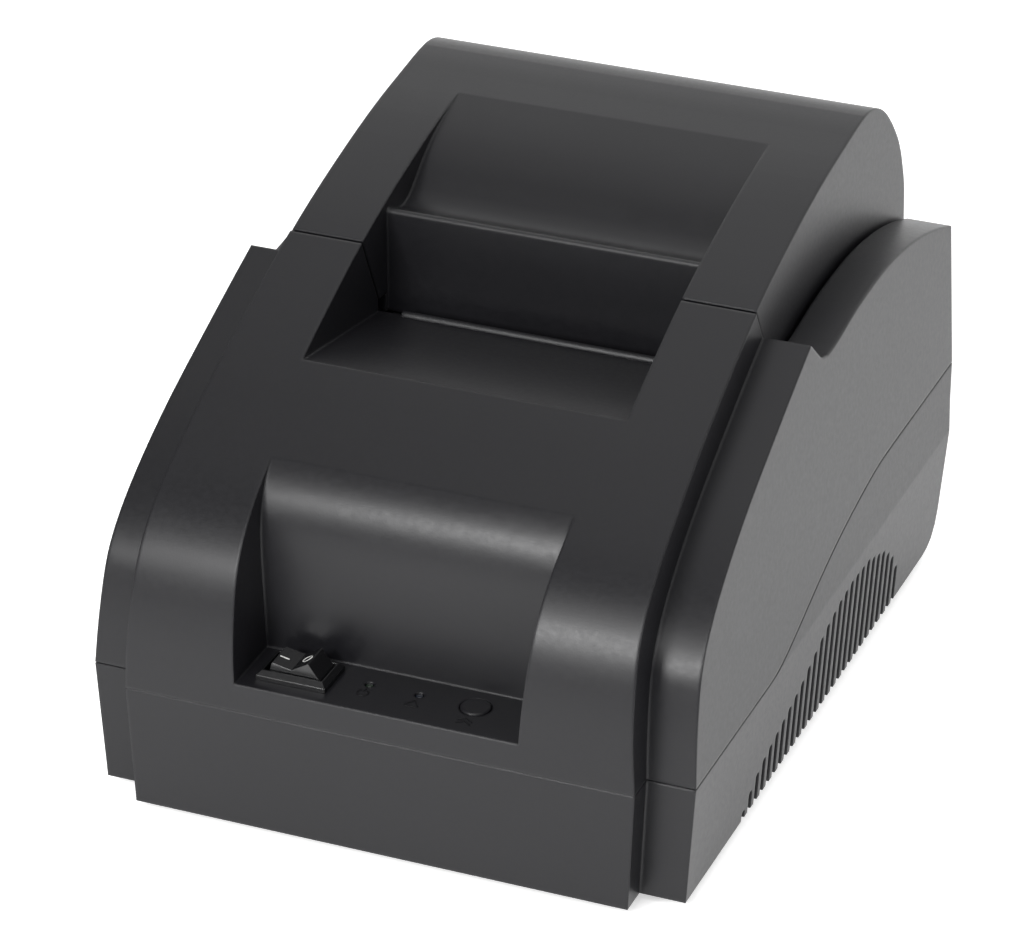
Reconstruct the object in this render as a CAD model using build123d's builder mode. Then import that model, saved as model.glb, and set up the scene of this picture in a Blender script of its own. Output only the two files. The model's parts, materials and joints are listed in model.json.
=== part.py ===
from build123d import *
import math
import os

os.makedirs("parts", exist_ok=True)

# ---------------------------------------------------------------- dimensions
# Desktop thermal receipt printer for 58 mm paper.  Millimetres, +Z up,
# -Y is the front, origin under the middle of the casing at foot level.
WALL = 2.2                 # casing wall
FOOT = 2.5                 # rubber foot height
Y_SHIFT = -14.35           # casing datum to the middle of the overall depth
SEAM_GAP = 0.28            # shut line between the two casing halves
LID_HALF = 52.1            # lid half width between the cheeks
BAY_HALF = 52.5            # casing opening half width
HINGE_Y, HINGE_Z = 93.5, 70.0
PIN_R = 2.0                # lid hinge pin radius
RUN = 0.05                 # running clearance, radial
RECESS_HALF = 35.1         # paper exit recess half width
SHELF_Z = 33.0             # control shelf
PLATEN_Y, PLATEN_Z = 19.2, 67.0
PLATEN_R = 5.6             # platen rubber radius, 58 mm long
SHAFT_R = 2.0
GEAR_M = 0.5               # gear module
N_PLATEN, N_SMALL, N_LARGE, N_PINION = 32, 16, 33, 15
IDLER_Y, IDLER_Z = 12.0, 57.4
MOTOR_Y, MOTOR_Z = 0.0, 57.4
HEAD_PIVOT_Y, HEAD_PIVOT_Z = 9.0, 52.0
ROCKER_X, ROCKER_Y, ROCKER_Z = -19.7, -63.6, 33.6
ROCKER_TILT = 10.0
BUTTON_X, BUTTON_Y = 17.5, -61.9
LED_X, LED_Y = 5.4, -61.8
VENT_PITCH, VENT_W, VENT_COUNT = 3.7, 1.9, 27

# outer profile of the central body, side view (y, z)
CENTRE = [
    (-71.8, 26.7), (-71.6, 36.7), (-70.6, 43.0), (-68.9, 49.4), (-65.9, 56.3),
    (-59.8, 63.6), (-48.5, 71.2), (-38.7, 76.7), (-29.6, 81.4), (-9.7, 90.3),
    (3.0, 95.3), (27.0, 102.4), (49.0, 107.1), (66.0, 109.4), (76.0, 109.9),
    (84.2, 107.0), (92.6, 99.3), (98.2, 89.3), (100.2, 80.5), (99.6, 71.0),
]
REAR = [(99.3, 42.0), (97.7, 34.0), (96.6, 22.0), (94.9, 7.5), (93.9, 4.2), (92.0, 1.7), (89.3, 0.4), (86.0, 0.0)]
# cheek profile, about 7 mm inside the central one
CHEEK = [
    (-64.9, 26.6), (-63.5, 36.1), (-61.9, 43.0), (-59.6, 49.4), (-53.6, 56.9),
    (-43.4, 64.6), (-32.4, 71.0), (-16.8, 78.4), (-2.6, 84.8), (7.3, 89.0),
]
SCOOP = [
    (12.3, 84.4), (14.3, 82.9), (17.2, 82.2), (22.5, 82.4), (32.0, 83.7), (45.4, 84.7),
    (57.6, 84.7), (69.9, 83.4), (82.4, 80.8), (99.5, 75.1),
]
SEAM = [(-22.0, 26.6), (-9.5, 28.6), (7.2, 33.8), (25.9, 38.6), (45.0, 41.7), (62.0, 42.3)]
# shut line between casing and lid, side view
GAP_TOP, GAP_LOW = (-10.3, 125.0), (12.2, 78.8)


# ------------------------------------------------------------------- helpers
def side(x):
    return Plane(origin=(x, Y_SHIFT, FOOT), x_dir=(0, 1, 0), z_dir=(1, 0, 0))


def level(z):
    return Plane(origin=(0, Y_SHIFT, FOOT + z), x_dir=(1, 0, 0), z_dir=(0, 0, 1))


def front(y):
    return Plane(origin=(0, Y_SHIFT + y, FOOT), x_dir=(1, 0, 0), z_dir=(0, -1, 0))


def slab(x0, x1, y0, y1, z0, z1, mode=Mode.ADD):
    with BuildSketch(level(z0)) as sk:
        with Locations(((x0 + x1) / 2, (y0 + y1) / 2)):
            Rectangle(x1 - x0, y1 - y0)
    extrude(sk.sketch, amount=z1 - z0, mode=mode)


def rod_x(x0, x1, y, z, r, mode=Mode.ADD):
    with BuildSketch(side(x0)) as sk:
        with Locations((y, z)):
            Circle(r)
    extrude(sk.sketch, amount=x1 - x0, mode=mode)


def rod_z(x, y, z0, z1, r, mode=Mode.ADD):
    with BuildSketch(level(z0)) as sk:
        with Locations((x, y)):
            Circle(r)
    extrude(sk.sketch, amount=z1 - z0, mode=mode)


def rod_y(x, z, y0, y1, r, mode=Mode.ADD):
    with BuildSketch(front(y1)) as sk:
        with Locations((x, z)):
            Circle(r)
    extrude(sk.sketch, amount=y1 - y0, mode=mode)


def prism(points, x0, x1, mode=Mode.ADD):
    with BuildSketch(side(x0)) as sk:
        with BuildLine():
            Polyline(*points, close=True)
        make_face()
    extrude(sk.sketch, amount=x1 - x0, mode=mode)


def front_prism(points, y0, y1, mode=Mode.ADD):
    with BuildSketch(front(y1)) as sk:
        with BuildLine():
            Polyline(*points, close=True)
        make_face()
    extrude(sk.sketch, amount=y1 - y0, mode=mode)


def inset(points, d):
    """Closed polygon moved inwards by d."""
    area = sum(a[0] * b[1] - b[0] * a[1] for a, b in zip(points, points[1:] + points[:1]))
    s = 1 if area > 0 else -1
    n = len(points)
    out = []
    for i in range(n):
        p0, p1, p2 = points[i - 1], points[i], points[(i + 1) % n]
        e1 = (p1[0] - p0[0], p1[1] - p0[1])
        e2 = (p2[0] - p1[0], p2[1] - p1[1])
        l1, l2 = math.hypot(*e1), math.hypot(*e2)
        n1 = (-s * e1[1] / l1, s * e1[0] / l1)
        n2 = (-s * e2[1] / l2, s * e2[0] / l2)
        bx, by = n1[0] + n2[0], n1[1] + n2[1]
        k = d / max(0.35, (bx * n1[0] + by * n1[1]))
        out.append((p1[0] + bx * k, p1[1] + by * k))
    return out


def gear_points(n, phase, centre, thin=0.10):
    """Involute spur gear outline, tooth centred on angle phase."""
    rp = GEAR_M * n / 2
    rb = rp * math.cos(math.radians(20))
    ra, rf = rp + 0.82 * GEAR_M, rp - 1.12 * GEAR_M
    inv20 = math.tan(math.radians(20)) - math.radians(20)
    base = math.pi / (2 * n) - thin / (2 * rp) + inv20
    flank = []
    r0 = max(rb, rf)
    for k in range(5):
        r = r0 + (ra - r0) * k / 4
        a = math.acos(min(1.0, rb / r))
        flank.append((r, base - (math.tan(a) - a)))
    pts = []
    for t in range(n):
        c = phase + 2 * math.pi * t / n
        row = [(rf, -flank[0][1])] if rf < r0 else []
        row += [(r, -h) for r, h in flank] + [(r, h) for r, h in reversed(flank)]
        row += [(rf, flank[0][1])] if rf < r0 else []
        pts += [(centre[0] + r * math.cos(c + h), centre[1] + r * math.sin(c + h)) for r, h in row]
    return pts


CENTRE_LOOP = CENTRE + REAR + [(-71.4, 0.0)]
CHEEK_LOOP = CHEEK + SCOOP + REAR + [(-64.8, 0.0)]


def taper(w0, w1, w2, mode):
    """Front view of a body: half widths at the bottom, at the seam and at 110 mm."""
    front_prism([(-w0, 0.0), (-w1, 26.7), (-w2, 112.0), (w2, 112.0), (w1, 26.7), (w0, 0.0)], -90.0, 120.0, mode)


# ------------------------------------------------------- outer form, in two
with BuildPart() as centre_form:
    with BuildSketch(side(-70.0)):
        with BuildLine():
            Spline(*CENTRE, tangents=[(0, 1), (0, -1)])
            Polyline(CENTRE[-1], *REAR, (-71.4, 0.0), CENTRE[0])
        make_face()
    extrude(amount=140.0)
    taper(53.6, 54.8, 50.35, Mode.INTERSECT)

with BuildPart() as cheek_form:
    with BuildSketch(side(-70.0)):
        with BuildLine():
            Spline(*CHEEK)
            Polyline(CHEEK[-1], (11.6, 85.0), (12.9, 83.8), (14.4, 83.0), SCOOP[2])
            Spline(*SCOOP[2:])
            Polyline(SCOOP[-1], *REAR, (-64.8, 0.0), CHEEK[0])
        make_face()
    extrude(amount=140.0)
    taper(63.3, 65.0, 60.6, Mode.INTERSECT)

# opening between the cheeks that the lid closes
LID_CUT = [GAP_TOP, GAP_LOW, (12.2, 77.0), (84.0, 77.0), (84.0, 59.5), (110.0, 59.5), (110.0, 125.0)]
with BuildPart() as centre_front:
    add(centre_form.part)
    prism([(-90.0, -5.0), (-90.0, 125.0), GAP_TOP, GAP_LOW, (12.2, 50.0), (12.2, -5.0)], -70.0, 70.0, Mode.INTERSECT)

with BuildPart() as outer_form:
    add(cheek_form.part)
    prism(LID_CUT, -BAY_HALF, BAY_HALF, Mode.SUBTRACT)
    add(centre_front.part)

with BuildPart() as centre_void:
    prism(inset(CENTRE_LOOP, WALL), -70.0, 70.0)
    taper(53.6 - WALL, 54.8 - WALL, 50.35 - WALL, Mode.INTERSECT)

with BuildPart() as front_void:
    add(centre_void.part)
    slab(-70.0, 70.0, -90.0, 40.0, -5.0, 125.0, Mode.INTERSECT)

with BuildPart() as cheek_void:
    prism(inset(CHEEK_LOOP, WALL), -70.0, 70.0)
    taper(63.3 - WALL, 65.0 - WALL, 60.6 - WALL, Mode.INTERSECT)


def below_seam(dz):
    with BuildSketch(side(-80.0)) as sk:
        with BuildLine():
            low = [(y, z + dz) for y, z in SEAM]
            Spline(*low, tangents=[(1, 0), (1, 0)])
            Polyline(low[-1], (115.0, low[-1][1]), (115.0, -12.0), (-90.0, -12.0), (-90.0, low[0][1]), low[0])
        make_face()
    extrude(sk.sketch, amount=160.0)


with BuildPart() as lower_zone:
    below_seam(-SEAM_GAP / 2)
with BuildPart() as under_upper:
    below_seam(SEAM_GAP / 2)

# casing screw towers stand in the cheeks
TOWERS = [(-58.0, -44.0), (58.0, -44.0), (-58.0, 84.0), (58.0, 84.0)]
# recess that shows the control shelf
with BuildPart() as control_cut:
    with BuildSketch(side(-40.0)):
        with BuildLine():
            wall = [(-55.5, 50.0), (-55.25, 55.5), (-54.3, 61.0), (-52.5, 65.7), (-49.6, 69.8), (-46.0, 72.9), (-42.2, 75.4)]
            Spline(*wall)
            Polyline(wall[-1], (-60.0, 100.0), (-85.0, 100.0), (-85.0, SHELF_Z), (-55.9, SHELF_Z), wall[0])
        make_face()
    extrude(amount=80.0)
    front_prism([(-30.4, 30.0), (-33.4, 90.0), (33.4, 90.0), (30.4, 30.0)], -90.0, -20.0, Mode.INTERSECT)
# paper exit: floor, lip and the vertical wall of the lid behind it
EXIT_CASE = [(-26.4, 83.2), (-25.6, 82.9), (10.6, 76.6), (30.0, 76.6), (30.0, 130.0), (-26.4, 130.0)]
EXIT_FLOOR = [
    (18.0, 97.7), (20.8, 96.3), (24.4, 95.2), (28.4, 95.9), (32.6, 98.6), (36.6, 101.4), (41.2, 103.8),
    (48.0, 106.1), (56.4, 108.2), (62.0, 109.5),
]
with BuildPart() as exit_cut:
    with BuildSketch(side(-RECESS_HALF)):
        with BuildLine():
            Spline(*EXIT_FLOOR)
            Polyline(EXIT_FLOOR[-1], (62.0, 130.0), (-15.0, 130.0), (-15.0, 74.0), (17.1, 74.0), (17.1, 97.1), (17.35, 97.55), EXIT_FLOOR[0])
        make_face()
    extrude(amount=2 * RECESS_HALF)

# --------------------------------------------------------------- lower casing
with BuildPart() as lower_void:
    add(cheek_void.part)
    add(front_void.part)
    for tx, ty in TOWERS:
        rod_z(tx, ty, 0.0, 22.0, 3.4, Mode.SUBTRACT)
    for bx, by in ((-40.0, 26.0), (40.0, 26.0), (-40.0, 86.0), (40.0, 86.0)):
        rod_z(bx, by, 0.0, 8.0, 3.0, Mode.SUBTRACT)
    for bx, by in ((-34.0, 5.0), (34.0, 5.0), (-34.0, 16.0), (34.0, 16.0)):
        rod_z(bx, by, 0.0, 28.0, 3.0, Mode.SUBTRACT)

with BuildPart() as lower_casing:
    add(outer_form.part)
    add(lower_zone.part, mode=Mode.INTERSECT)
    add(lower_void.part, mode=Mode.SUBTRACT)
    for tx, ty in TOWERS:
        rod_z(tx, ty, -1.0, 23.0, 1.25, Mode.SUBTRACT)
        rod_z(tx, ty, -1.0, 5.0, 2.9, Mode.SUBTRACT)
    for bx, by in ((-40.0, 26.0), (40.0, 26.0), (-40.0, 86.0), (40.0, 86.0)):
        rod_z(bx, by, 3.0, 9.0, 1.25, Mode.SUBTRACT)
    for bx, by in ((-34.0, 5.0), (34.0, 5.0), (-34.0, 16.0), (34.0, 16.0)):
        rod_z(bx, by, 14.0, 29.0, 1.25, Mode.SUBTRACT)
    # sockets in the rear wall
    slab(25.4, 35.6, 89.5, 101.0, 9.4, 21.4, Mode.SUBTRACT)
    slab(5.4, 18.6, 89.5, 101.0, 9.4, 21.2, Mode.SUBTRACT)
    slab(-28.6, -11.4, 89.5, 101.0, 9.4, 23.4, Mode.SUBTRACT)
    # ventilation slots under an arch, both sides
    arch = [(-36.5, -4.0), (-32.7, 1.4), (-28.9, 4.1), (-24.5, 6.8), (-20.3, 8.5), (-10.0, 11.1), (0.4, 13.9),
            (8.5, 17.2), (16.2, 20.1), (23.5, 21.9), (31.7, 22.8), (42.3, 22.1), (53.0, 18.6), (60.1, 14.0), (67.0, 6.1), (71.0, -2.0)]

    def arch_z(y):
        for a, b in zip(arch, arch[1:]):
            if a[0] <= y <= b[0]:
                return a[1] + (b[1] - a[1]) * (y - a[0]) / (b[0] - a[0])
        return -5.0

    with BuildSketch(side(-70.0)):
        for i in range(VENT_COUNT):
            sy = -31.6 + i * VENT_PITCH
            top = arch_z(sy) - VENT_W / 2
            with Locations((sy, (top - 6.0) / 2)):
                Rectangle(VENT_W, top + 6.0)
            with Locations((sy, top)):
                Circle(VENT_W / 2)
    extrude(amount=9.4, mode=Mode.SUBTRACT)
    with BuildSketch(side(60.6)):
        for i in range(VENT_COUNT):
            sy = -31.6 + i * VENT_PITCH
            top = arch_z(sy) - VENT_W / 2
            with Locations((sy, (top - 6.0) / 2)):
                Rectangle(VENT_W, top + 6.0)
            with Locations((sy, top)):
                Circle(VENT_W / 2)
    extrude(amount=9.4, mode=Mode.SUBTRACT)

# --------------------------------------------------------------- upper casing
with BuildPart() as control_tub:
    prism([(-90.0, 30.8), (-53.4, 30.8), (-53.2, 53.0), (-51.5, 60.0), (-47.5, 66.5), (-40.0, 72.0), (-36.0, 90.0), (-90.0, 90.0)], -35.4, 35.4)
with BuildPart() as exit_tub:
    prism([(-28.6, 95.0), (-28.6, 80.9), (-25.5, 80.7), (9.0, 74.4), (12.0, 74.4), (12.0, 95.0)], -37.3, 37.3)
with BuildPart() as end_wall:
    prism([(1.2, 96.4), (9.4, 79.4), (12.4, 79.4), (3.0, 98.0)], -60.0, 60.0)
with BuildPart() as cheek_walls:
    slab(BAY_HALF, BAY_HALF + WALL, 2.0, 98.0, 30.0, 100.0)
    slab(-BAY_HALF - WALL, -BAY_HALF, 2.0, 98.0, 30.0, 100.0)
    for s in (-1, 1):
        for ly in (33.0, 74.0):
            slab(min(s * 47.5, s * 54.0), max(s * 47.5, s * 54.0), ly - 3.5, ly + 3.5, 60.0, 67.9)

with BuildPart() as upper_void:
    add(cheek_void.part)
    add(front_void.part)
    add(control_tub.part, mode=Mode.SUBTRACT)
    add(exit_tub.part, mode=Mode.SUBTRACT)
    add(end_wall.part, mode=Mode.SUBTRACT)
    add(cheek_walls.part, mode=Mode.SUBTRACT)
    for tx, ty in TOWERS:
        rod_z(tx, ty, 22.3, 100.0, 3.4, Mode.SUBTRACT)

with BuildPart() as upper_casing:
    add(outer_form.part)
    add(under_upper.part, mode=Mode.SUBTRACT)
    add(control_cut.part, mode=Mode.SUBTRACT)
    prism(EXIT_CASE, -RECESS_HALF, RECESS_HALF, Mode.SUBTRACT)
    add(upper_void.part, mode=Mode.SUBTRACT)
    # switch, lamps and button openings in the shelf
    slab(ROCKER_X - 6.7, ROCKER_X + 6.7, ROCKER_Y - 4.2, ROCKER_Y + 4.2, 28.0, 36.0, Mode.SUBTRACT)
    rod_z(-LED_X, LED_Y, 28.0, 36.0, 1.05, Mode.SUBTRACT)
    rod_z(LED_X, LED_Y, 28.0, 36.0, 1.05, Mode.SUBTRACT)
    rod_z(BUTTON_X, BUTTON_Y, 28.0, 36.0, 3.35, Mode.SUBTRACT)
    # hinge pin bores
    rod_x(-57.0, -51.0, HINGE_Y, HINGE_Z, PIN_R + RUN, Mode.SUBTRACT)
    rod_x(51.0, 57.0, HINGE_Y, HINGE_Z, PIN_R + RUN, Mode.SUBTRACT)
    for tx, ty in TOWERS:
        rod_z(tx, ty, 20.0, 34.0, 1.25, Mode.SUBTRACT)
    for s in (-1, 1):
        for ly in (33.0, 74.0):
            rod_z(s * 49.6, ly, 61.0, 69.0, 1.05, Mode.SUBTRACT)

# ------------------------------------------------------------------ paper lid
with BuildPart() as lid_tub:
    prism([(-15.0, 74.0), (19.3, 74.0), (19.3, 94.6), (26.0, 92.6), (29.0, 92.9), (34.0, 96.3), (41.5, 101.2), (48.0, 103.6),
           (60.0, 106.2), (60.0, 130.0), (-15.0, 130.0)], -37.3, 37.3)
with BuildPart() as lid_void:
    add(centre_void.part)
    prism([(-10.3 + 3.2, 125.0), (14.8, 79.6), (14.8, 40.0), (110.0, 40.0), (110.0, 125.0)], -70.0, 70.0, Mode.INTERSECT)
    slab(-LID_HALF + 2.0, LID_HALF - 2.0, -90.0, 120.0, 0.0, 120.0, Mode.INTERSECT)
    add(lid_tub.part, mode=Mode.SUBTRACT)

with BuildPart() as paper_lid:
    with BuildSketch(side(-70.0)):
        with BuildLine():
            # the casing curve again, as short arcs
            crown = Spline(*CENTRE, tangents=[(0, 1), (0, -1)], mode=Mode.PRIVATE)
            for k in range(26):
                ThreePointArc(crown @ (k / 26), crown @ ((k + 0.5) / 26), crown @ ((k + 1) / 26))
            Polyline(CENTRE[-1], *REAR, (-71.4, 0.0), CENTRE[0])
        make_face()
        with BuildLine():
            Polyline((-10.3 + 0.7, 125.0), (12.2 + 0.7, 78.9), (16.4, 78.9), (16.4, 74.3), (20.6, 74.3), (20.6, 79.5), (80.0, 79.5),
                     (84.0, 66.0), (88.0, 62.0), (110.0, 62.0), (110.0, 125.0), close=True)
        make_face(mode=Mode.INTERSECT)
    extrude(amount=140.0)
    taper(LID_HALF + 1.2, LID_HALF + 1.2, 50.35, Mode.INTERSECT)
    add(lid_void.part, mode=Mode.SUBTRACT)
    # nothing of the front face hangs below the side skirts beyond the exit wall
    slab(-60.0, -RECESS_HALF - 2.2, 10.0, 21.5, 70.0, 79.5, Mode.SUBTRACT)
    slab(RECESS_HALF + 2.2, 60.0, 10.0, 21.5, 70.0, 79.5, Mode.SUBTRACT)
    add(exit_cut.part, mode=Mode.SUBTRACT)
    rod_x(-60.0, -40.0, HINGE_Y, HINGE_Z, PIN_R, Mode.SUBTRACT)
    rod_x(40.0, 60.0, HINGE_Y, HINGE_Z, PIN_R, Mode.SUBTRACT)

with BuildPart() as lid_hinge_pins:
    for s in (-1, 1):
        a, b = sorted((s * 47.6, s * 54.6))
        rod_x(a, b, HINGE_Y, HINGE_Z, PIN_R)
        a, b = sorted((s * 47.6, s * 49.9))
        rod_x(a, b, HINGE_Y, HINGE_Z, PIN_R + 1.2)

# ------------------------------------------------------------------ paper bay
with BuildPart() as paper_bay:
    rod_x(-33.0, 33.0, 58.0, 70.0, 28.4)
    slab(-60.0, 60.0, 20.0, 100.0, 70.0, 110.0, Mode.SUBTRACT)
    slab(-51.8, 51.8, 28.6, 82.4, 68.0, 70.0)
    rod_x(-30.8, 30.8, 58.0, 70.0, 26.4, Mode.SUBTRACT)
    # relief for the lid edge that swings past
    slab(-34.0, 34.0, 85.2, 88.0, 55.0, 72.0, Mode.SUBTRACT)
    for s in (-1, 1):
        for ly in (33.0, 74.0):
            rod_z(s * 49.6, ly, 60.0, 72.0, 1.3, Mode.SUBTRACT)
    # ribs under the deck
    for x in (-44.0, -38.0, 38.0, 44.0):
        slab(x - 0.8, x + 0.8, 30.0, 80.0, 62.0, 68.0)

with BuildPart() as bay_screws:
    for s in (-1, 1):
        for ly in (33.0, 74.0):
            rod_z(s * 49.6, ly, 62.0, 70.0, 1.0)
            rod_z(s * 49.6, ly, 70.0, 71.4, 2.1)

# ------------------------------------------------------------------- tear bar
with BuildPart() as tear_bar:
    prism([(10.6, 76.6), (11.0, 77.5), (11.7, 77.8), (12.0, 77.4), (12.0, 76.6)], -29.3, 29.3)
    fillet(tear_bar.edges().filter_by(Axis.X).sort_by(Axis.Z)[-1:], 0.15)

# --------------------------------------------------------- print mechanism
with BuildPart() as mech_frame:
    for s in (-1, 1):
        a, b = sorted((s * 37.0, s * 39.0))
        prism([(-8.0, 28.6), (24.0, 28.6), (26.0, 60.0), (26.0, 70.5), (14.0, 73.0), (6.0, 71.0), (-4.0, 66.0), (-9.0, 60.0)], a, b)
        # open slot that takes the platen bush
        rod_x(a, b, PLATEN_Y, PLATEN_Z, 3.65, Mode.SUBTRACT)
        slab(a, b, PLATEN_Y - 3.65, PLATEN_Y + 3.65, PLATEN_Z, 90.0, Mode.SUBTRACT)
    slab(-37.0, 37.0, -8.0, 24.0, 28.2, 30.2)
    slab(-37.0, 37.0, 3.0, 4.6, 30.2, 66.0)
    # motor clearance in the cross plate
    slab(16.0, 37.0, 2.0, 6.0, 44.0, 68.0, Mode.SUBTRACT)
    rod_x(36.0, 40.0, MOTOR_Y, MOTOR_Z, 1.6, Mode.SUBTRACT)
    rod_x(36.0, 40.0, IDLER_Y, IDLER_Z, 1.5, Mode.SUBTRACT)
    rod_x(-40.0, -36.0, HEAD_PIVOT_Y, HEAD_PIVOT_Z, 1.2, Mode.SUBTRACT)
    rod_x(36.0, 40.0, HEAD_PIVOT_Y, HEAD_PIVOT_Z, 1.2, Mode.SUBTRACT)
    for bx, by in ((-34.0, 5.0), (34.0, 5.0), (-34.0, 16.0), (34.0, 16.0)):
        rod_z(bx, by, 27.0, 40.0, 1.35, Mode.SUBTRACT)
    slab(-38.6, -30.0, 2.0, 8.6, 30.2, 34.0, Mode.SUBTRACT)
    slab(30.0, 36.9, 2.0, 8.6, 30.2, 34.0, Mode.SUBTRACT)

with BuildPart() as mech_screws:
    for bx, by in ((-34.0, 5.0), (34.0, 5.0), (-34.0, 16.0), (34.0, 16.0)):
        rod_z(bx, by, 17.0, 30.2, 1.15)
        rod_z(bx, by, 30.2, 31.6, 2.3)

with BuildPart() as head_heatsink:
    slab(-30.0, 30.0, 10.2, 12.6, 50.0, 73.2)
    prism([(7.2, 50.0), (10.2, 50.0), (10.2, 54.2), (7.2, 54.2)], -30.0, -24.0)
    prism([(7.2, 50.0), (10.2, 50.0), (10.2, 54.2), (7.2, 54.2)], 11.0, 16.0)
    rod_x(-31.0, 31.0, HEAD_PIVOT_Y, HEAD_PIVOT_Z, 1.2 + RUN, Mode.SUBTRACT)
with BuildPart() as thermal_strip:
    slab(-28.0, 28.0, 12.6, 13.4, 59.0, 72.6)
with BuildPart() as head_pivot_pin:
    rod_x(-39.4, 39.4, HEAD_PIVOT_Y, HEAD_PIVOT_Z, 1.2)
    with BuildSketch(side(-40.6)):
        with Locations((HEAD_PIVOT_Y, HEAD_PIVOT_Z)):
            Circle(2.0)
    extrude(amount=1.4)
with BuildPart() as head_springs:
    for x in (-14.0, 6.0):
        with BuildSketch(front(10.1)):
            with Locations((x, 62.0)):
                Circle(2.4)
                Circle(1.7, mode=Mode.SUBTRACT)
        extrude(amount=5.4)

with BuildPart() as platen_roller:
    rod_x(-29.0, 29.0, PLATEN_Y, PLATEN_Z, PLATEN_R)
    rod_x(-29.0, 29.0, PLATEN_Y, PLATEN_Z, SHAFT_R, Mode.SUBTRACT)
with BuildPart() as platen_shaft:
    rod_x(-40.4, 44.2, PLATEN_Y, PLATEN_Z, SHAFT_R)
with BuildPart() as platen_bushes:
    for s in (-1, 1):
        a, b = sorted((s * 36.2, s * 39.8))
        rod_x(a, b, PLATEN_Y, PLATEN_Z, 3.5)
        a, b = sorted((s * 35.4, s * 36.2))
        rod_x(a, b, PLATEN_Y, PLATEN_Z, 4.2)
        a, b = sorted((s * 35.0, s * 40.0))
        rod_x(a, b, PLATEN_Y, PLATEN_Z, SHAFT_R + RUN, Mode.SUBTRACT)
with BuildPart() as platen_bracket:
    for s in (-1, 1):
        a, b = sorted((s * 32.6, s * 34.6))
        prism([(19.35, 90.0), (27.0, 90.0), (25.0, 63.4), (15.0, 63.4), (15.0, 71.0), (19.35, 73.6)], a, b)
        rod_x(a, b, PLATEN_Y, PLATEN_Z, SHAFT_R + RUN, Mode.SUBTRACT)
    slab(-32.6, 32.6, 19.35, 21.2, 76.0, 90.0)

to_idler = math.atan2(IDLER_Z - PLATEN_Z, IDLER_Y - PLATEN_Y)
to_motor = math.atan2(MOTOR_Z - IDLER_Z, MOTOR_Y - IDLER_Y)
with BuildPart() as platen_gear:
    prism(gear_points(N_PLATEN, to_idler, (PLATEN_Y, PLATEN_Z)), 40.4, 43.6)
    rod_x(40.0, 44.0, PLATEN_Y, PLATEN_Z, SHAFT_R, Mode.SUBTRACT)
    for k in range(5):
        a = math.radians(72 * k)
        rod_x(40.0, 44.0, PLATEN_Y + 4.9 * math.cos(a), PLATEN_Z + 4.9 * math.sin(a), 1.2, Mode.SUBTRACT)
with BuildPart() as compound_gear:
    prism(gear_points(N_SMALL, to_idler + math.pi + math.pi / N_SMALL, (IDLER_Y, IDLER_Z)), 40.2, 44.2)
    prism(gear_points(N_LARGE, to_motor, (IDLER_Y, IDLER_Z)), 44.2, 46.6)
    rod_x(40.0, 47.0, IDLER_Y, IDLER_Z, 1.5 + RUN, Mode.SUBTRACT)
with BuildPart() as gear_post:
    rod_x(37.0, 47.4, IDLER_Y, IDLER_Z, 1.5)
    rod_x(46.9, 47.6, IDLER_Y, IDLER_Z, 2.6)
with BuildPart() as motor:
    rod_x(20.0, 36.4, MOTOR_Y, MOTOR_Z, 9.0)
    rod_x(18.6, 20.0, MOTOR_Y, MOTOR_Z, 7.6)
    prism([(-3.2, 44.8), (3.2, 44.8), (3.2, 70.0), (-3.2, 70.0)], 35.6, 36.9)
    rod_x(18.0, 37.0, MOTOR_Y, MOTOR_Z, 1.0 + RUN, Mode.SUBTRACT)
    for z in (46.6, 68.2):
        rod_x(35.0, 37.0, MOTOR_Y, z, 1.0, Mode.SUBTRACT)
with BuildPart() as motor_screws:
    for z in (46.6, 68.2):
        rod_x(33.9, 36.9, MOTOR_Y, z, 0.95)
        rod_x(34.2, 35.6, MOTOR_Y, z, 1.8)
with BuildPart() as motor_shaft:
    rod_x(19.0, 47.4, MOTOR_Y, MOTOR_Z, 1.0)
with BuildPart() as motor_pinion:
    prism(gear_points(N_PINION, to_motor + math.pi + math.pi / N_PINION, (MOTOR_Y, MOTOR_Z)), 43.9, 47.2)
    rod_x(43.0, 48.0, MOTOR_Y, MOTOR_Z, 1.0, Mode.SUBTRACT)
with BuildPart() as paper_sensor:
    slab(-3.2, 3.2, 28.7, 30.9, 70.0, 72.2)
    slab(-0.8, 0.8, 29.2, 30.4, 72.2, 72.8)
with BuildPart() as head_flex:
    slab(-12.0, 12.0, 10.9, 11.2, 30.6, 49.4)

# ------------------------------------------------------------------ controls
with BuildPart() as switch_body:
    slab(ROCKER_X - 7.5, ROCKER_X + 7.5, ROCKER_Y - 5.0, ROCKER_Y + 5.0, 33.0, 35.0)
    chamfer(switch_body.faces().sort_by(Axis.Z)[-1].edges(), 0.95)
    slab(ROCKER_X - 6.6, ROCKER_X + 6.6, ROCKER_Y - 4.1, ROCKER_Y + 4.1, 21.0, 33.0)
    slab(ROCKER_X - 6.35, ROCKER_X + 6.35, ROCKER_Y - 3.7, ROCKER_Y + 3.7, 28.6, 36.0, Mode.SUBTRACT)
with BuildPart() as switch_rocker:
    ca, sa = math.cos(math.radians(ROCKER_TILT)), math.sin(math.radians(ROCKER_TILT))
    shape = [(-5.0, -2.8), (5.0, -2.8), (6.0, -0.4), (4.0, 3.9), (0.0, 2.3), (-4.0, 3.9), (-6.0, -0.4)]
    front_prism([(ROCKER_X + x * ca - z * sa, ROCKER_Z + x * sa + z * ca) for x, z in shape], ROCKER_Y - 3.45, ROCKER_Y + 3.45)
    fillet(switch_rocker.edges().filter_by(Axis.Y).sort_by(Axis.Z)[-1:], 0.3)
    rod_y(ROCKER_X, ROCKER_Z, ROCKER_Y - 3.65, ROCKER_Y + 3.65, 1.0)
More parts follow.
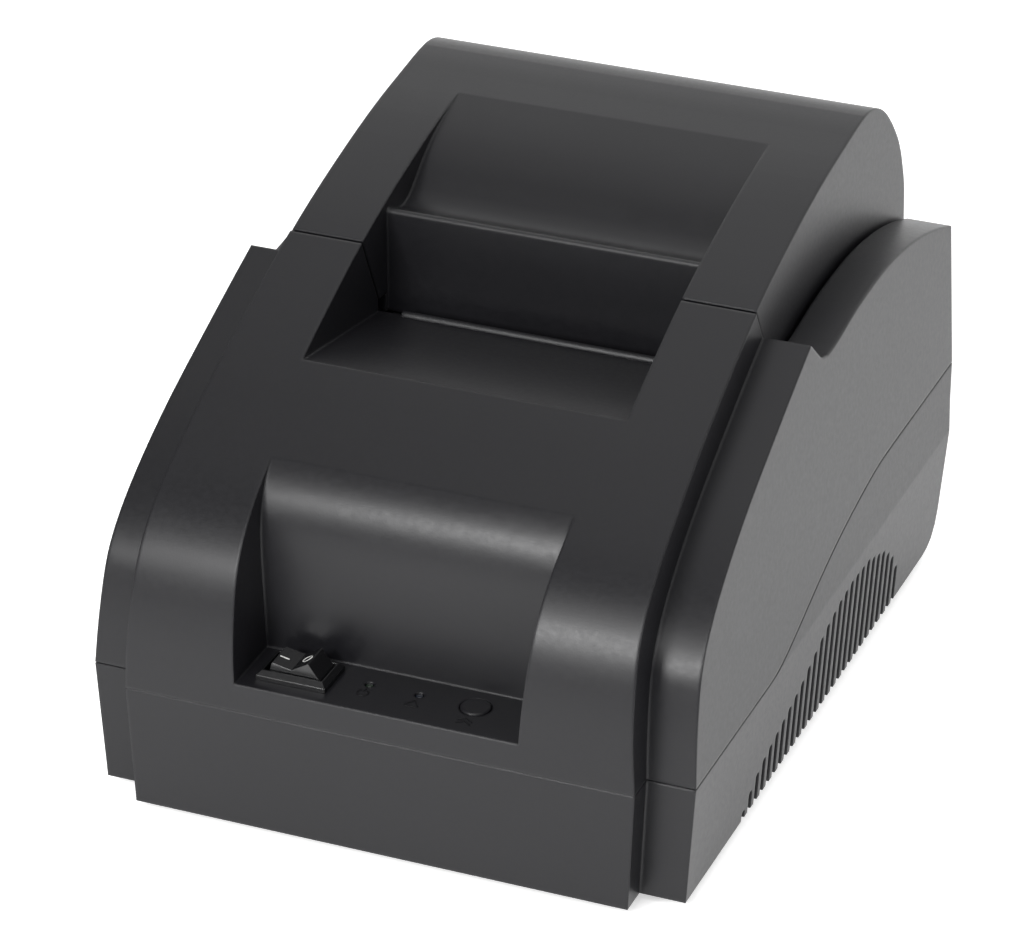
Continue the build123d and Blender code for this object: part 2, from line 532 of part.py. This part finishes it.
with BuildPart() as switch_terminals:
    for x in (-4.2, 0.0, 4.2):
        slab(ROCKER_X + x - 0.4, ROCKER_X + x + 0.4, ROCKER_Y - 1.6, ROCKER_Y + 1.6, 14.6, 21.0)
with BuildPart() as feed_button:
    rod_z(BUTTON_X, BUTTON_Y, 30.2, 33.3, 3.15)
    fillet(feed_button.edges().sort_by(Axis.Z)[-1:], 0.3)
    rod_z(BUTTON_X, BUTTON_Y, 29.4, 30.3, 4.1)
with BuildPart() as tact_plunger:
    rod_z(BUTTON_X, BUTTON_Y, 28.25, 29.4, 1.6)
with BuildPart() as tact_switch:
    slab(BUTTON_X - 3.0, BUTTON_X + 3.0, BUTTON_Y - 3.0, BUTTON_Y + 3.0, 26.4, 28.2)
    rod_z(BUTTON_X, BUTTON_Y, 27.2, 29.0, 1.7, Mode.SUBTRACT)
leds = {}
for led_name, lx in (("power_led", -LED_X), ("status_led", LED_X)):
    with BuildPart() as led:
        rod_z(lx, LED_Y, 28.6, 32.9, 0.98)
        fillet(led.edges().sort_by(Axis.Z)[-1:], 0.6)
        rod_z(lx, LED_Y, 26.4, 28.7, 1.3)
    leds[led_name] = led
with BuildPart() as panel_pcb:
    slab(-9.6, 26.0, -67.6, -56.4, 24.8, 26.4)
    for x in (-8.0, 24.4):
        rod_z(x, -58.2, 24.0, 27.0, 0.95, Mode.SUBTRACT)
with BuildPart() as panel_pillars:
    for x in (-8.0, 24.4):
        rod_z(x, -58.2, 26.4, 30.8, 1.55)
        rod_z(x, -58.2, 26.0, 29.8, 0.9, Mode.SUBTRACT)
with BuildPart() as panel_screws:
    for x in (-8.0, 24.4):
        rod_z(x, -58.2, 24.8, 29.6, 0.85)
        rod_z(x, -58.2, 23.6, 24.8, 1.6)

# --------------------------------------------------------------- electronics
with BuildPart() as main_pcb:
    slab(-46.0, 46.0, 20.6, 92.0, 8.0, 9.6)
    for bx, by in ((-40.0, 26.0), (40.0, 26.0), (-40.0, 86.0), (40.0, 86.0)):
        rod_z(bx, by, 7.0, 10.0, 1.5, Mode.SUBTRACT)
with BuildPart() as pcb_screws:
    for bx, by in ((-40.0, 26.0), (40.0, 26.0), (-40.0, 86.0), (40.0, 86.0)):
        rod_z(bx, by, 4.0, 9.6, 1.2)
        rod_z(bx, by, 9.6, 11.2, 2.4)
with BuildPart() as main_chips:
    slab(-12.0, 0.0, 46.0, 58.0, 9.6, 11.2)
    slab(8.0, 16.0, 40.0, 45.0, 9.6, 11.0)
    slab(22.0, 30.0, 52.0, 60.0, 9.6, 11.6)
with BuildPart() as capacitors:
    rod_z(28.0, 72.0, 9.6, 22.0, 4.0)
    rod_z(-30.0, 60.0, 9.6, 19.0, 3.2)
    rod_z(-30.0, 70.0, 9.6, 19.0, 3.2)
with BuildPart() as usb_socket:
    slab(6.0, 18.0, 79.0, 95.2, 9.6, 20.6)
    slab(7.8, 16.2, 84.0, 96.0, 11.0, 19.2, Mode.SUBTRACT)
    slab(9.3, 14.7, 83.0, 90.4, 13.4, 16.6)
with BuildPart() as dc_socket:
    slab(26.0, 35.0, 81.0, 95.2, 9.6, 20.8)
    rod_y(30.5, 15.2, 85.0, 96.0, 3.2, Mode.SUBTRACT)
    rod_y(30.5, 15.2, 84.5, 94.0, 0.95)
with BuildPart() as drawer_socket:
    slab(-28.0, -12.0, 77.0, 95.2, 9.6, 22.8)
    slab(-25.9, -14.1, 81.0, 96.0, 12.2, 19.4, Mode.SUBTRACT)
    slab(-22.6, -17.4, 81.0, 96.0, 19.4, 21.4, Mode.SUBTRACT)

with BuildPart() as casing_screws:
    for tx, ty in TOWERS:
        rod_z(tx, ty, 5.0, 31.0, 1.15)
        rod_z(tx, ty, 3.4, 5.0, 2.6)
with BuildPart() as rubber_feet:
    for fx, fy in ((-52.0, -52.0), (52.0, -52.0), (-54.0, 73.0), (54.0, 73.0)):
        with BuildSketch(level(-FOOT)):
            with Locations((fx, fy)):
                Circle(6.0)
        extrude(amount=FOOT, taper=-6)

# --------------------------------------------------------------------- export
pieces = {
    "lower_casing": lower_casing, "upper_casing": upper_casing, "paper_lid": paper_lid, "lid_hinge_pins": lid_hinge_pins,
    "paper_bay": paper_bay, "bay_screws": bay_screws, "tear_bar": tear_bar, "mech_frame": mech_frame, "mech_screws": mech_screws,
    "head_heatsink": head_heatsink, "thermal_strip": thermal_strip, "head_pivot_pin": head_pivot_pin, "head_springs": head_springs,
    "platen_roller": platen_roller, "platen_shaft": platen_shaft, "platen_bushes": platen_bushes, "platen_bracket": platen_bracket,
    "platen_gear": platen_gear, "compound_gear": compound_gear, "gear_post": gear_post, "motor": motor, "motor_screws": motor_screws,
    "motor_shaft": motor_shaft, "motor_pinion": motor_pinion, "paper_sensor": paper_sensor, "head_flex": head_flex,
    "switch_body": switch_body, "switch_rocker": switch_rocker, "switch_terminals": switch_terminals,
    "feed_button": feed_button, "tact_plunger": tact_plunger, "tact_switch": tact_switch,
    "power_led": leds["power_led"], "status_led": leds["status_led"],
    "panel_pcb": panel_pcb, "panel_pillars": panel_pillars, "panel_screws": panel_screws,
    "main_pcb": main_pcb, "pcb_screws": pcb_screws, "main_chips": main_chips, "capacitors": capacitors,
    "usb_socket": usb_socket, "dc_socket": dc_socket, "drawer_socket": drawer_socket,
    "casing_screws": casing_screws, "rubber_feet": rubber_feet,
}
for piece_name, piece in pieces.items():
    piece.part.label = piece_name
    export_step(piece.part, "parts/" + piece_name + ".step")
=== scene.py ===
import json
import math
import bmesh
import bpy
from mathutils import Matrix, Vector


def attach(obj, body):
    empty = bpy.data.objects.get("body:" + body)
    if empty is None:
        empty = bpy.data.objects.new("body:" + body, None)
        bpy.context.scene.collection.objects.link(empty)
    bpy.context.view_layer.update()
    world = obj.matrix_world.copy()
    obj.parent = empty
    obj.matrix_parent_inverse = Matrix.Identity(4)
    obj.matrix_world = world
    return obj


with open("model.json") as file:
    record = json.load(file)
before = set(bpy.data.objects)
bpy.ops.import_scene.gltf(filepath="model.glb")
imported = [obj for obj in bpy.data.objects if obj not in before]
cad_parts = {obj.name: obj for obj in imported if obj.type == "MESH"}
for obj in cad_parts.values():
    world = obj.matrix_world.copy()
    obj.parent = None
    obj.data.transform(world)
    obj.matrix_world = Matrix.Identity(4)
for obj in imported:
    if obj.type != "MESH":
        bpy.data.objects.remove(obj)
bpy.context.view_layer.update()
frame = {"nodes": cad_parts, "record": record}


YS, ZF = -14.35, 2.5


def P(x, y, z):
    """Casing coordinates in millimetres to the frame, in metres."""
    return Vector((x / 1000, (y + YS) / 1000, (z + ZF) / 1000))


# ------------------------------------------------------------------- camera
cam_data = bpy.data.cameras.new("Camera")
cam_data.sensor_width = 36.0
cam_data.lens = 171.90
cam_data.clip_end = 20.0
cam = bpy.data.objects.new("Camera", cam_data)
bpy.context.collection.objects.link(cam)
cam.location = P(336.40, -825.73, 531.81)
target = P(0.0, 0.0, 50.96)
cam.rotation_euler = (target - cam.location).to_track_quat("-Z", "Y").to_euler()
bpy.context.scene.camera = cam


# ---------------------------------------------------------------- materials
def new_mat(name):
    m = bpy.data.materials.new(name)
    m.use_nodes = True
    nt = m.node_tree
    nt.nodes.clear()
    out = nt.nodes.new("ShaderNodeOutputMaterial")
    bsdf = nt.nodes.new("ShaderNodeBsdfPrincipled")
    nt.links.new(bsdf.outputs["BSDF"], out.inputs["Surface"])
    return m, nt, bsdf


def moulded(name, color, rough=0.45, grain=0.12, grain_scale=3200.0, vary=0.12, edge=0.0007, wear=0.25, spec=0.5, metallic=0.0, coat=0.0):
    """Moulded plastic: fine spark-eroded texture, soft worn edges, slow tone and gloss variation."""
    m, nt, b = new_mat(name)
    L = nt.links.new
    tc = nt.nodes.new("ShaderNodeTexCoord")
    n1 = nt.nodes.new("ShaderNodeTexNoise")
    n1.inputs["Scale"].default_value = grain_scale
    n1.inputs["Detail"].default_value = 3.0
    n2 = nt.nodes.new("ShaderNodeTexNoise")
    n2.inputs["Scale"].default_value = 14.0
    n2.inputs["Detail"].default_value = 4.0
    n3 = nt.nodes.new("ShaderNodeTexNoise")
    n3.inputs["Scale"].default_value = 900.0
    n3.inputs["Detail"].default_value = 4.0
    for n in (n1, n2, n3):
        L(tc.outputs["Object"], n.inputs["Vector"])
    bev = nt.nodes.new("ShaderNodeBevel")
    bev.samples = 6
    bev.inputs["Radius"].default_value = edge
    bump = nt.nodes.new("ShaderNodeBump")
    bump.inputs["Strength"].default_value = grain
    bump.inputs["Distance"].default_value = 0.00004
    L(n1.outputs["Fac"], bump.inputs["Height"])
    L(bev.outputs["Normal"], bump.inputs["Normal"])
    L(bump.outputs["Normal"], b.inputs["Normal"])
    # colour: base, slow mottling, edges rubbed a little lighter
    ramp = nt.nodes.new("ShaderNodeMapRange")
    ramp.inputs["From Min"].default_value = 0.3
    ramp.inputs["From Max"].default_value = 0.7
    ramp.inputs["To Min"].default_value = 1.0 - vary
    ramp.inputs["To Max"].default_value = 1.0 + vary
    L(n2.outputs["Fac"], ramp.inputs["Value"])
    speck = nt.nodes.new("ShaderNodeMapRange")
    speck.inputs["From Min"].default_value = 0.35
    speck.inputs["From Max"].default_value = 0.65
    speck.inputs["To Min"].default_value = 0.93
    speck.inputs["To Max"].default_value = 1.07
    L(n3.outputs["Fac"], speck.inputs["Value"])
    mul = nt.nodes.new("ShaderNodeMath")
    mul.operation = "MULTIPLY"
    L(ramp.outputs["Result"], mul.inputs[0])
    L(speck.outputs["Result"], mul.inputs[1])
    base = nt.nodes.new("ShaderNodeRGB")
    base.outputs[0].default_value = (*color, 1)
    sc = nt.nodes.new("ShaderNodeVectorMath")
    sc.operation = "SCALE"
    L(base.outputs[0], sc.inputs[0])
    L(mul.outputs[0], sc.inputs["Scale"])
    geo = nt.nodes.new("ShaderNodeNewGeometry")
    dot = nt.nodes.new("ShaderNodeVectorMath")
    dot.operation = "DOT_PRODUCT"
    L(bev.outputs["Normal"], dot.inputs[0])
    L(geo.outputs["Normal"], dot.inputs[1])
    em = nt.nodes.new("ShaderNodeMapRange")
    em.inputs["From Min"].default_value = 0.995
    em.inputs["From Max"].default_value = 0.80
    em.inputs["To Min"].default_value = 0.0
    em.inputs["To Max"].default_value = wear
    L(dot.outputs["Value"], em.inputs["Value"])
    mix = nt.nodes.new("ShaderNodeMix")
    mix.data_type = "RGBA"
    L(em.outputs["Result"], mix.inputs["Factor"])
    L(sc.outputs["Vector"], mix.inputs["A"])
    mix.inputs["B"].default_value = (min(1, color[0] * 3.5 + 0.02), min(1, color[1] * 3.5 + 0.02), min(1, color[2] * 3.5 + 0.02), 1)
    L(mix.outputs["Result"], b.inputs["Base Color"])
    rr = nt.nodes.new("ShaderNodeMapRange")
    rr.inputs["To Min"].default_value = rough - 0.05
    rr.inputs["To Max"].default_value = rough + 0.07
    L(n3.outputs["Fac"], rr.inputs["Value"])
    L(rr.outputs["Result"], b.inputs["Roughness"])
    b.inputs["Metallic"].default_value = metallic
    b.inputs["Specular IOR Level"].default_value = spec
    b.inputs["Coat Weight"].default_value = coat
    b.inputs["Coat Roughness"].default_value = 0.15
    return m


def brushed(name, color, rough=0.3, stretch=(20, 600, 600), edge=0.0002):
    """Drawn or brushed metal: streaks along one axis."""
    m, nt, b = new_mat(name)
    L = nt.links.new
    tc = nt.nodes.new("ShaderNodeTexCoord")
    mp = nt.nodes.new("ShaderNodeMapping")
    mp.inputs["Scale"].default_value = stretch
    L(tc.outputs["Object"], mp.inputs["Vector"])
    n = nt.nodes.new("ShaderNodeTexNoise")
    n.inputs["Scale"].default_value = 6.0
    n.inputs["Detail"].default_value = 6.0
    L(mp.outputs["Vector"], n.inputs["Vector"])
    cr = nt.nodes.new("ShaderNodeValToRGB")
    cr.color_ramp.elements[0].position = 0.3
    cr.color_ramp.elements[1].position = 0.7
    cr.color_ramp.elements[0].color = (color[0] * 0.78, color[1] * 0.78, color[2] * 0.78, 1)
    cr.color_ramp.elements[1].color = (min(1, color[0] * 1.1), min(1, color[1] * 1.1), min(1, color[2] * 1.1), 1)
    L(n.outputs["Fac"], cr.inputs["Fac"])
    L(cr.outputs["Color"], b.inputs["Base Color"])
    rr = nt.nodes.new("ShaderNodeMapRange")
    rr.inputs["To Min"].default_value = rough - 0.08
    rr.inputs["To Max"].default_value = rough + 0.14
    L(n.outputs["Fac"], rr.inputs["Value"])
    L(rr.outputs["Result"], b.inputs["Roughness"])
    bev = nt.nodes.new("ShaderNodeBevel")
    bev.samples = 4
    bev.inputs["Radius"].default_value = edge
    bump = nt.nodes.new("ShaderNodeBump")
    bump.inputs["Strength"].default_value = 0.15
    bump.inputs["Distance"].default_value = 0.00003
    L(n.outputs["Fac"], bump.inputs["Height"])
    L(bev.outputs["Normal"], bump.inputs["Normal"])
    L(bump.outputs["Normal"], b.inputs["Normal"])
    b.inputs["Metallic"].default_value = 1.0
    return m


def board(name):
    """Solder mask with fine tracks under it."""
    m, nt, b = new_mat(name)
    L = nt.links.new
    tc = nt.nodes.new("ShaderNodeTexCoord")
    v = nt.nodes.new("ShaderNodeTexVoronoi")
    v.distance = "MANHATTAN"
    v.feature = "DISTANCE_TO_EDGE"
    v.inputs["Scale"].default_value = 160.0
    L(tc.outputs["Object"], v.inputs["Vector"])
    cr = nt.nodes.new("ShaderNodeValToRGB")
    cr.color_ramp.elements[0].position = 0.05
    cr.color_ramp.elements[0].color = (0.03, 0.22, 0.09, 1)
    cr.color_ramp.elements[1].position = 0.12
    cr.color_ramp.elements[1].color = (0.01, 0.10, 0.035, 1)
    L(v.outputs["Distance"], cr.inputs["Fac"])
    L(cr.outputs["Color"], b.inputs["Base Color"])
    n = nt.nodes.new("ShaderNodeTexNoise")
    n.inputs["Scale"].default_value = 500.0
    L(tc.outputs["Object"], n.inputs["Vector"])
    rr = nt.nodes.new("ShaderNodeMapRange")
    rr.inputs["To Min"].default_value = 0.22
    rr.inputs["To Max"].default_value = 0.4
    L(n.outputs["Fac"], rr.inputs["Value"])
    L(rr.outputs["Result"], b.inputs["Roughness"])
    return m


BLACK = (0.0072, 0.0071, 0.0086)
MATS = {
    "casing_black": moulded("casing_black", BLACK, rough=0.36, grain=0.25, vary=0.06, edge=0.0009, wear=0.12, spec=0.36),
    "gloss_black": moulded("gloss_black", (0.0045, 0.0045, 0.005), rough=0.20, grain=0.05, vary=0.08, edge=0.0003, wear=0.3, coat=0.4),
    "inner_black": moulded("inner_black", (0.008, 0.008, 0.009), rough=0.55, grain=0.2, edge=0.0004, wear=0.2),
    "rubber_black": moulded("rubber_black", (0.018, 0.018, 0.018), rough=0.8, grain=0.5, grain_scale=1500, edge=0.0005, wear=0.1, spec=0.3),
    "platen_rubber": moulded("platen_rubber", (0.028, 0.028, 0.03), rough=0.68, grain=0.5, grain_scale=1800, edge=0.0002, wear=0.1, spec=0.35),
    "steel": brushed("steel", (0.50, 0.50, 0.51), 0.32),
    "aluminium": brushed("aluminium", (0.66, 0.66, 0.67), 0.35),
    "ceramic_strip": moulded("ceramic_strip", (0.22, 0.12, 0.06), rough=0.15, grain=0.02, edge=0.0001, wear=0.1, coat=0.6),
    "nylon_white": moulded("nylon_white", (0.68, 0.67, 0.62), rough=0.42, grain=0.1, vary=0.05, edge=0.0001, wear=0.1),
    "brass": brushed("brass", (0.72, 0.52, 0.22), 0.28),
    "pcb_green": board("pcb_green"),
    "chip_black": moulded("chip_black", (0.02, 0.02, 0.021), rough=0.5, grain=0.4, grain_scale=2500, edge=0.0002, wear=0.15),
    "can_silver": brushed("can_silver", (0.6, 0.6, 0.62), 0.3, stretch=(600, 600, 15)),
    "flex_amber": moulded("flex_amber", (0.42, 0.17, 0.03), rough=0.25, grain=0.05, edge=0.0001, wear=0.1),
    "led_green": moulded("led_green", (0.006, 0.012, 0.007), rough=0.15, grain=0.03, edge=0.0002, wear=0.2, coat=0.5),
    "led_blue": moulded("led_blue", (0.006, 0.008, 0.014), rough=0.15, grain=0.03, edge=0.0002, wear=0.2, coat=0.5),
    "plated": brushed("plated", (0.62, 0.62, 0.64), 0.2),
}
slot_of = {s["node"]: s["material_slot"] for s in frame["record"]["subparts"]}
for name, obj in frame["nodes"].items():
    mat = MATS[slot_of[name]]
    if not obj.material_slots:
        obj.data.materials.append(mat)
    for sl in obj.material_slots:
        sl.material = mat

MARK = moulded("mark_white", (0.62, 0.62, 0.60), rough=0.5, grain=0.05, vary=0.04, edge=0.00005, wear=0.0)


# ---------------------------------------------------------- detail in meshes
def mesh_obj(name, bm, mat, body):
    bmesh.ops.recalc_face_normals(bm, faces=bm.faces)
    me = bpy.data.meshes.new(name)
    bm.to_mesh(me)
    bm.free()
    me.materials.append(mat)
    o = bpy.data.objects.new(name, me)
    bpy.context.collection.objects.link(o)
    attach(o, body)
    return o


def strip(bm, path, width, height, closed=False):
    """A raised bead with a trapezoid section along points on the XY plane (mm, casing frame), z at its foot."""
    n = len(path)
    rings = []
    for i, (x, y, z) in enumerate(path):
        if closed:
            a, b = path[i - 1], path[(i + 1) % n]
        else:
            a, b = path[max(0, i - 1)], path[min(n - 1, i + 1)]
        t = Vector((b[0] - a[0], b[1] - a[1], 0)).normalized()
        s = Vector((-t.y, t.x, 0))
        ring = []
        for k, dz in ((-0.5, 0.0), (-0.34, 1.0), (0.34, 1.0), (0.5, 0.0)):
            ring.append(bm.verts.new(P(x + s.x * width * k, y + s.y * width * k, z + dz * height)))
        rings.append(ring)
    count = n if closed else n - 1
    for i in range(count):
        r0, r1 = rings[i], rings[(i + 1) % n]
        for k in range(4):
            bm.faces.new((r0[k], r0[(k + 1) % 4], r1[(k + 1) % 4], r1[k]))
    if not closed:
        bm.faces.new(rings[0])
        bm.faces.new(list(reversed(rings[-1])))


def ring_points(cx, cy, z, r, n=32, a0=0.0, a1=360.0):
    return [(cx + r * math.cos(math.radians(a0 + (a1 - a0) * i / n)), cy + r * math.sin(math.radians(a0 + (a1 - a0) * i / n)), z)
            for i in range(n if a1 - a0 >= 360 else n + 1)]


SHELF = 33.0
# raised generic symbols beside the lamps and the button
bm = bmesh.new()
strip(bm, ring_points(-5.4, -65.2, SHELF, 1.15, 24, 125, 415), 0.34, 0.16)
strip(bm, [(-5.4, -64.9, SHELF), (-5.4, -63.6, SHELF)], 0.34, 0.16)
strip(bm, [(3.9, -66.2, SHELF), (5.4, -64.1, SHELF), (6.9, -66.2, SHELF)], 0.34, 0.16)
strip(bm, [(4.4, -66.6, SHELF), (6.4, -66.6, SHELF)], 0.34, 0.16)
strip(bm, [(16.0, -67.6, SHELF), (17.5, -66.5, SHELF), (19.0, -67.6, SHELF)], 0.34, 0.16)
strip(bm, [(16.0, -68.7, SHELF), (17.5, -67.6, SHELF), (19.0, -68.7, SHELF)], 0.34, 0.16)
mesh_obj("shelf_symbols", bm, MATS["casing_black"], "base")


# rocker marks: a short bar on the pressed end and a ring on the raised end
def rocker_top(x, off=0.0):
    """Height of the rocker face at x, in the casing frame."""
    pts = [(-4.0, 3.9), (0.0, 2.3), (4.0, 3.9)]
    ca, sa = math.cos(math.radians(10)), math.sin(math.radians(10))
    world = [(-19.7 + a * ca - b * sa, 33.6 + a * sa + b * ca) for a, b in pts]
    for (x0, z0), (x1, z1) in zip(world, world[1:]):
        if x0 <= x <= x1:
            return z0 + (z1 - z0) * (x - x0) / (x1 - x0) + off
    return world[-1][1] + off


bm = bmesh.new()
bar = [(-23.9, -63.8), (-22.9, -63.8), (-21.9, -63.8)]
strip(bm, [(x, y, rocker_top(x, -0.02)) for x, y in bar], 0.42, 0.06)
ring = ring_points(-17.9, -63.7, 0, 0.95, 28)
strip(bm, [(x, y * 1.0 + 0.0, rocker_top(x, -0.02)) for x, y, _ in ring], 0.36, 0.06, closed=True)
mesh_obj("rocker_marks", bm, MARK, "rocker")

# ------------------------------------------------------------ floor and light
bm = bmesh.new()
N = 24
prof = [(-1.6, 0.0), (0.9, 0.0)]
for i in range(1, N + 1):
    a = math.pi / 2 * i / N
    prof.append((0.9 + 0.6 * math.sin(a), 0.6 - 0.6 * math.cos(a)))
prof.append((1.5, 2.6))
rows = [[bm.verts.new((x, y, z)) for x in (-3.0, 3.0)] for y, z in prof]
for a, b in zip(rows, rows[1:]):
    bm.faces.new((a[0], a[1], b[1], b[0]))
me = bpy.data.meshes.new("floor")
bm.to_mesh(me)
bm.free()
for p in me.polygons:
    p.use_smooth = True
floor = bpy.data.objects.new("floor", me)
bpy.context.collection.objects.link(floor)
fm, nt, b = new_mat("floor_paper")
tcn = nt.nodes.new("ShaderNodeTexCoord")
nz = nt.nodes.new("ShaderNodeTexNoise")
nz.inputs["Scale"].default_value = 40.0
nt.links.new(tcn.outputs["Object"], nz.inputs["Vector"])
cr = nt.nodes.new("ShaderNodeValToRGB")
cr.color_ramp.elements[0].color = (0.86, 0.86, 0.86, 1)
cr.color_ramp.elements[1].color = (0.90, 0.90, 0.90, 1)
nt.links.new(nz.outputs["Fac"], cr.inputs["Fac"])
nt.links.new(cr.outputs["Color"], b.inputs["Base Color"])
b.inputs["Roughness"].default_value = 0.9
b.inputs["Emission Color"].default_value = (1, 1, 1, 1)
b.inputs["Emission Strength"].default_value = 0.55
me.materials.append(fm)


def area(name, loc, aim, size, power, shape="RECTANGLE", size_y=None):
    d = bpy.data.lights.new(name, "AREA")
    d.shape = shape
    d.size = size
    if size_y:
        d.size_y = size_y
    d.energy = power
    o = bpy.data.objects.new(name, d)
    bpy.context.collection.objects.link(o)
    o.location = loc
    o.rotation_euler = (Vector(aim) - Vector(loc)).to_track_quat("-Z", "Y").to_euler()
    return o


area("key_right", (1.15, -0.35, 0.75), (0.0, 0.0, 0.05), 0.9, 4.3, size_y=0.7)
area("top_soft", (0.0, 0.25, 1.5), (0.0, 0.0, 0.0), 1.3, 4, size_y=1.0)
area("front_box", (0.02, -0.95, 0.92), (0.03, 0.0, 0.06), 0.42, 7, size_y=0.34)
area("front_low", (-0.14, -0.57, 0.315), (0.05, -0.08, 0.05), 0.14, 2.2, size_y=0.14)
world = bpy.data.worlds.new("World")
bpy.context.scene.world = world
world.use_nodes = True
world.node_tree.nodes["Background"].inputs["Color"].default_value = (1, 1, 1, 1)
world.node_tree.nodes["Background"].inputs["Strength"].default_value = 0.34
bpy.context.scene.view_settings.view_transform = "Standard"
